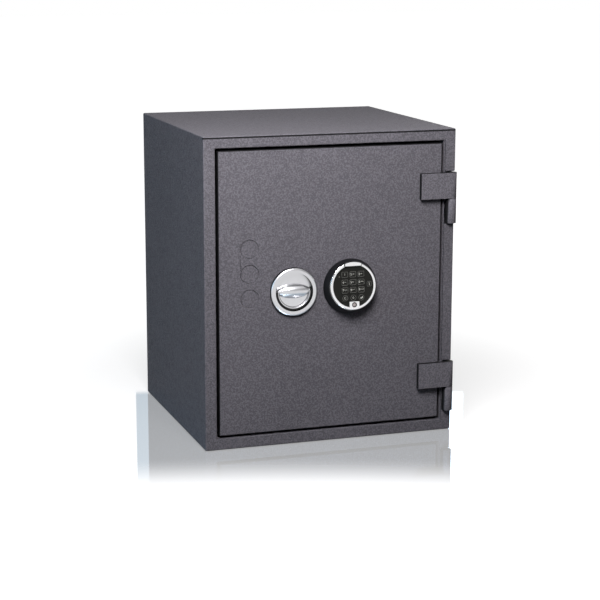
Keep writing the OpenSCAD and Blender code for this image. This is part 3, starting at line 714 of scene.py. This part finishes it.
class SAFE_OT_print_keys(Operator):
    """Prints the digits, the letters and the outline on each key"""

    bl_idname = "safe.print_keys"
    bl_label = "Print keys"

    def execute(self, context):
        """One print and one outline for each key."""
        pad = context.scene.safe_keypad
        ink = moulded("Key print", pad.ink, 0.5, 0.0004, 0.000005, 0.2)
        line = moulded("Key outline", pad.outline, 0.5, 0.0004, 0.000005, 0.2)
        for name in KEYS:
            x, z = key_centre(name)
            at_key = face_matrix(x, z, KEY_FRONT)
            half = SIDE_KEY_HALF if name == "key_side" else KEY_HALF
            round_key = name in ("key_clear", "key_0", "key_enter")
            print_name = name.replace("key_", "print_")
            mesh = bmesh.new()
            if round_key:
                add_band(mesh, ring_points(ROUND_KEY), ring_points(ROUND_KEY - pad.line_width), PRINT_T)
            else:
                inset = 0.0004
                outer = rounded_outline(half[0] - inset, half[1] - inset, CORNER - inset)
                inner_in = inset + pad.line_width
                inner = rounded_outline(half[0] - inner_in, half[1] - inner_in, CORNER - inner_in)
                add_band(mesh, outer, inner, PRINT_T)
            new_piece(name.replace("key_", "outline_"), mesh, at_key, line, name)
            mesh = bmesh.new()
            self.draw_print(mesh, name, pad.digit_height)
            new_piece(print_name, mesh, at_key, ink, name)
        return {"FINISHED"}

    def draw_print(self, mesh, name, height):
        """What a key shows."""
        if name == "key_clear":
            add_lettering(mesh, "C", height, 0.0, 0.0, PRINT_T, "CENTER")
        elif name == "key_enter":
            add_plate(mesh, [(-0.0020, -0.0011), (0.0, -0.0030), (0.0, -0.0016), (0.0022, -0.0016),
                             (0.0022, 0.0018), (0.0012, 0.0018), (0.0012, -0.0006), (0.0, -0.0006),
                             (0.0, 0.0008)], PRINT_T)
        elif name == "key_side":
            add_plate(mesh, [(-0.0004, -0.0022), (0.0004, -0.0022), (0.0004, 0.0006),
                             (-0.0004, 0.0006)], PRINT_T)
            add_plate(mesh, ring_points(0.0005, 16, 0.0, 0.0018), PRINT_T)
        elif name in LETTERS:
            add_lettering(mesh, name[-1], height, -0.0043, 0.0, PRINT_T)
            add_lettering(mesh, LETTERS[name], height * LETTER_SHARE, -0.0012, 0.0004, PRINT_T)
        else:
            add_lettering(mesh, name[-1], height, 0.0, 0.0, PRINT_T, "CENTER")


class SAFE_OT_fit_keypad_trim(Operator):
    """Adds the status lamp, the contact's seat and the rib beside the keypad's ring"""

    bl_idname = "safe.fit_keypad_trim"
    bl_label = "Fit keypad trim"

    def execute(self, context):
        """A small lens on the face, a dark seat round the contact and one bright rib outside the ring."""
        lens = moulded("Status lens", (0.10, 0.09, 0.085), 0.2)
        mesh = bmesh.new()
        bmesh.ops.create_uvsphere(mesh, u_segments=20, v_segments=10, radius=0.0011)
        for vert in mesh.verts:
            vert.co.z = max(vert.co.z, 0.0) * 0.5
        bmesh.ops.remove_doubles(mesh, verts=mesh.verts, dist=0.000001)
        new_piece("status_lens", mesh, face_matrix(-0.0228, 0.0156, 0.0002), lens, "door")
        mesh = bmesh.new()
        add_band(mesh, *(ring_points(radius) for radius in SEAT_RADII), 0.0002)
        seat = moulded("Contact seat", (0.010, 0.009, 0.009), 0.4)
        new_piece("contact_seat", mesh, face_matrix(*CONTACT_PLACE, -0.0012), seat, "door")
        mesh = bmesh.new()
        add_band(mesh, *(arc_points(radius, 165, 265) for radius in RIB_RADII), 0.0002, False)
        rib = metal("Housing rib", (0.45, 0.45, 0.46), 0.3, (900.0, 900.0, 900.0), 0.04)
        new_piece("housing_rib", mesh, face_matrix(0.0, 0.0, 0.0001), rib, "door")
        return {"FINISHED"}


CAMERA_PLACE = (-0.90639, -2.728026, 0.797475)


class SAFE_OT_build_studio(Operator):
    """Builds the floor, the world, the lights and the camera"""

    bl_idname = "safe.build_studio"
    bl_label = "Build studio"

    def execute(self, context):
        """Pale floor with a sheen, soft light, and the camera."""
        studio = context.scene.safe_studio
        self.make_world(context.scene, studio)
        self.make_floor(studio)
        self.make_lights(studio)
        self.make_camera(context.scene, studio)
        context.scene.view_settings.view_transform = "Standard"
        return {"FINISHED"}

    def seen(self, tree):
        """Two masks: rays from the camera, a mirror or glass, and only those from a mirror or glass."""
        path = tree.nodes.new("ShaderNodeLightPath")
        glass = path.outputs["Is Transmission Ray"]
        mirror = combine(tree, "MAXIMUM", path.outputs["Is Glossy Ray"], glass)
        return combine(tree, "MAXIMUM", path.outputs["Is Camera Ray"], mirror), mirror

    def make_world(self, scene, studio):
        """White to look at, a soft dusk in mirrors, and faint as a light."""
        world = bpy.data.worlds.new("Studio")
        world.use_nodes = True
        scene.world = world
        tree = world.node_tree
        tree.nodes.clear()
        seen, mirrored = self.seen(tree)
        direction = tree.nodes.new("ShaderNodeTexCoord").outputs["Generated"]
        towards = place(tree, "ShaderNodeSeparateXYZ", {0: direction})
        ahead = span(tree, towards.outputs[2], 0.05, 0.30, 0.90, 0.20)
        behind = span(tree, towards.outputs[1], -0.35, 0.35)
        turned = combine(tree, "MULTIPLY", combine(tree, "SUBTRACT", 0.58, ahead), behind)
        overhead = span(tree, towards.outputs[2], 0.45, 0.85, 0.0, 0.5)
        dusk = combine(tree, "ADD", combine(tree, "ADD", ahead, turned), overhead)
        change = combine(tree, "MULTIPLY", mirrored, combine(tree, "SUBTRACT", dusk, 1.0))
        look = combine(tree, "ADD", change, 1.0)
        even = place(tree, "ShaderNodeBackground", {"Color": (1, 1, 1, 1), "Strength": studio.ambient})
        white = place(tree, "ShaderNodeBackground", {"Color": (1, 1, 1, 1), "Strength": look})
        mix = place(tree, "ShaderNodeMixShader", {0: seen, 1: even.outputs[0], 2: white.outputs[0]})
        output = tree.nodes.new("ShaderNodeOutputWorld")
        tree.links.new(mix.outputs[0], output.inputs["Surface"])

    def make_floor(self, studio):
        """A large pale floor that mirrors the safe close to its foot."""
        mesh = bmesh.new()
        bmesh.ops.create_grid(mesh, x_segments=8, y_segments=8, size=15.0)
        data = bpy.data.meshes.new("floor")
        mesh.to_mesh(data)
        mesh.free()
        floor = bpy.data.objects.new("floor", data)
        floor.location.z = -0.0002
        bpy.context.scene.collection.objects.link(floor)
        data.materials.append(self.floor_finish(studio))

    def sheen_area(self, tree):
        """1 on a wedge of floor under the safe, fading out towards the front."""
        offset = combine_vectors(tree, "SUBTRACT", object_place(tree), (*CAMERA_PLACE[:2], 0.0))
        parts = place(tree, "ShaderNodeSeparateXYZ", {0: offset})
        bearing = combine(tree, "ARCTAN2", parts.outputs[0], parts.outputs[1])
        reach = distance(tree, offset)
        left = span(tree, bearing, *(math.radians(angle) for angle in (12.97, 13.03)))
        right = span(tree, bearing, *(math.radians(angle) for angle in (24.24, 24.18)))
        front = span(tree, reach, 2.40, 2.60)
        back = span(tree, reach, 3.02, 2.98)
        return combine(tree, "MULTIPLY", combine(tree, "MULTIPLY", left, right),
                       combine(tree, "MULTIPLY", front, back))

    def floor_finish(self, studio):
        """White, with a sheen near the safe. Light and mirrors meet a dimmer floor."""
        material = bpy.data.materials.new("Pale floor")
        material.use_nodes = True
        tree = material.node_tree
        tree.nodes.clear()
        seen, mirrored = self.seen(tree)
        where = self.sheen_area(tree)
        speck = noise(tree, object_place(tree), 40.0, 2.0)
        specks = span(tree, speck, 0.3, 0.7, 0.0, 0.04)
        pale = mix_colour(tree, specks, (0.35, 0.35, 0.35, 1), (0.33, 0.34, 0.35, 1))
        ground = place(tree, "ShaderNodeBsdfDiffuse", {"Color": pale})
        strength = span(tree, distance(tree, object_place(tree)), 0.35, 0.9, 0.78, 1.0)
        glow = place(tree, "ShaderNodeEmission", {"Color": (1, 1, 1, 1), "Strength": strength})
        lit = place(tree, "ShaderNodeAddShader", {0: ground.outputs[0], 1: glow.outputs[0]})
        depth = place(tree, "ShaderNodeSeparateXYZ", {0: object_place(tree)}).outputs[1]
        ahead = span(tree, depth, -0.6, -0.2, 1.0, 0.5)
        soft = place(tree, "ShaderNodeEmission", {"Color": (1, 1, 1, 1), "Strength": ahead})
        dim = place(tree, "ShaderNodeBsdfDiffuse", {"Color": (0.12, 0.12, 0.125, 1)})
        looked = place(tree, "ShaderNodeMixShader", {0: mirrored, 1: lit.outputs[0], 2: soft.outputs[0]})
        base = place(tree, "ShaderNodeMixShader", {0: seen, 1: dim.outputs[0], 2: looked.outputs[0]})
        mirror = place(tree, "ShaderNodeBsdfGlossy", {"Color": (0.60, 0.77, 0.92, 1), "Roughness": 0.03})
        amount = combine(tree, "MULTIPLY", combine(tree, "MULTIPLY", where, seen), studio.sheen)
        mix = place(tree, "ShaderNodeMixShader", {0: amount, 1: base.outputs[0], 2: mirror.outputs[0]})
        output = tree.nodes.new("ShaderNodeOutputMaterial")
        tree.links.new(mix.outputs[0], output.inputs["Surface"])
        return material

    def add_area(self, name, power, colour, size, place_at, target):
        """A soft square lamp that faces a point."""
        lamp = bpy.data.lights.new(name, "AREA")
        lamp.energy = power
        lamp.color = colour
        lamp.size = size
        holder = bpy.data.objects.new(name, lamp)
        holder.location = place_at
        holder.rotation_euler = (Vector(target) - Vector(place_at)).to_track_quat("-Z", "Y").to_euler()
        bpy.context.scene.collection.objects.link(holder)
        return holder

    def make_lights(self, studio):
        """A key over the door, a cool light on the left, one behind and one from straight above."""
        self.add_area("key light", studio.key_power, (1.0, 0.985, 1.0), 0.45,
                      (-0.28, -0.88, 1.05), (-0.02, -0.195, 0.30))
        self.add_area("side light", studio.side_power, (0.50, 0.77, 1.0), 1.2,
                      (-2.2, -0.55, 0.95), (-0.21, 0.0, 0.28))
        self.add_area("back light", studio.back_power, (1.0, 0.98, 0.96), 1.2,
                      (1.9, 2.2, 0.55), (0.1, 0.1, 0.25))
        lamp = bpy.data.lights.new("top light", "SUN")
        lamp.energy = studio.top_strength
        lamp.angle = math.radians(35)
        holder = bpy.data.objects.new("top light", lamp)
        holder.location = (0, 0, 3)
        bpy.context.scene.collection.objects.link(holder)

    def make_camera(self, scene, studio):
        """The camera, to the left of the door and above it."""
        lens = bpy.data.cameras.new("camera")
        lens.lens = studio.lens
        lens.sensor_width = 36.0
        lens.clip_start = 0.05
        lens.clip_end = 100.0
        holder = bpy.data.objects.new("camera", lens)
        turn = Matrix.Rotation(math.radians(-18.621), 4, "Z")
        dip = Matrix.Rotation(math.radians(90 - 11.872), 4, "X")
        roll = Matrix.Rotation(math.radians(0.123), 4, "Z")
        holder.matrix_world = Matrix.Translation(CAMERA_PLACE) @ turn @ dip @ roll
        scene.collection.objects.link(holder)
        scene.camera = holder


class SAFE_PT_sidebar(Panel):
    """Settings and steps, in the 3D view's sidebar"""

    bl_label = "Safe"
    bl_idname = "SAFE_PT_sidebar"
    bl_space_type = "VIEW_3D"
    bl_region_type = "UI"
    bl_category = "Safe"

    def draw(self, context):
        """Lists the settings, then one button for each step."""
        for group in (context.scene.safe_paint, context.scene.safe_metal,
                      context.scene.safe_keypad, context.scene.safe_studio):
            box = self.layout.box()
            for name in group.__annotations__:
                box.prop(group, name)
        for step in OPERATORS:
            self.layout.operator(step.bl_idname)


SETTINGS = {"safe_paint": PaintSettings, "safe_metal": MetalSettings,
            "safe_keypad": KeypadSettings, "safe_studio": StudioSettings}
OPERATORS = (SAFE_OT_coat_body, SAFE_OT_coat_inside, SAFE_OT_fit_boltwork, SAFE_OT_finish_handle,
             SAFE_OT_finish_keypad, SAFE_OT_print_keys, SAFE_OT_fit_keypad_trim, SAFE_OT_build_studio)
CLASSES = (*SETTINGS.values(), *OPERATORS, SAFE_PT_sidebar)


def register():
    """Registers the classes and their settings."""
    for item in CLASSES:
        bpy.utils.register_class(item)
    for name, kind in SETTINGS.items():
        setattr(bpy.types.Scene, name, PointerProperty(type=kind))


def unregister():
    """Removes the settings and the classes."""
    for name in SETTINGS:
        delattr(bpy.types.Scene, name)
    for item in reversed(CLASSES):
        bpy.utils.unregister_class(item)


def main():
    """Builds the whole scene."""
    register()
    GROUPS["coat"] = build_coat_grain()
    GROUPS["brushing"] = build_brushing()
    GROUPS["edges"] = build_edge_highlight()
    bpy.ops.safe.coat_body()
    bpy.ops.safe.coat_inside()
    bpy.ops.safe.fit_boltwork()
    bpy.ops.safe.finish_handle()
    bpy.ops.safe.finish_keypad()
    bpy.ops.safe.print_keys()
    bpy.ops.safe.fit_keypad_trim()
    bpy.ops.safe.build_studio()


if __name__ == "__main__":
    main()
